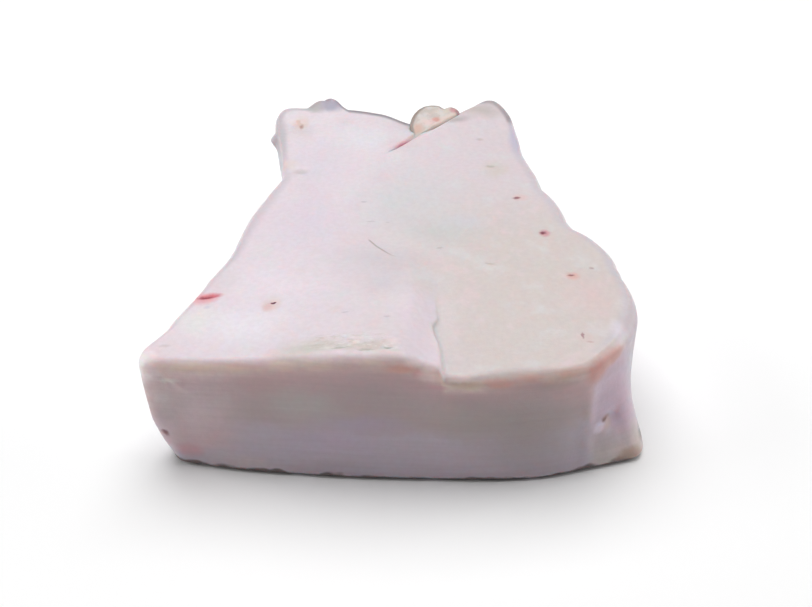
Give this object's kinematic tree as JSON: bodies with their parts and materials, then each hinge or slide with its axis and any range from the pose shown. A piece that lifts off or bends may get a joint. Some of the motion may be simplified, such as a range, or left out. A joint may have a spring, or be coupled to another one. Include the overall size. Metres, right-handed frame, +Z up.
{
  "type": "pork belly slab",
  "caption": "Thick block of white pork fat with a cut front face, scalloped right side, narrower notched back and a folded tag of fat.",
  "frame": {"origin": "middle of the bounding box in plan, on the plane that the slab lies on", "axes": "+X to the right seen from the cut front face, +Y from the front face to the notched back, +Z up"},
  "size_m": [0.217, 0.2548, 0.0654],
  "materials": {
    "pork_fat": "raw pork fat, moist, pinkish white"
  },
  "bodies": {
    "root": {"slab": "pork_fat"}
  },
  "joints": []
}
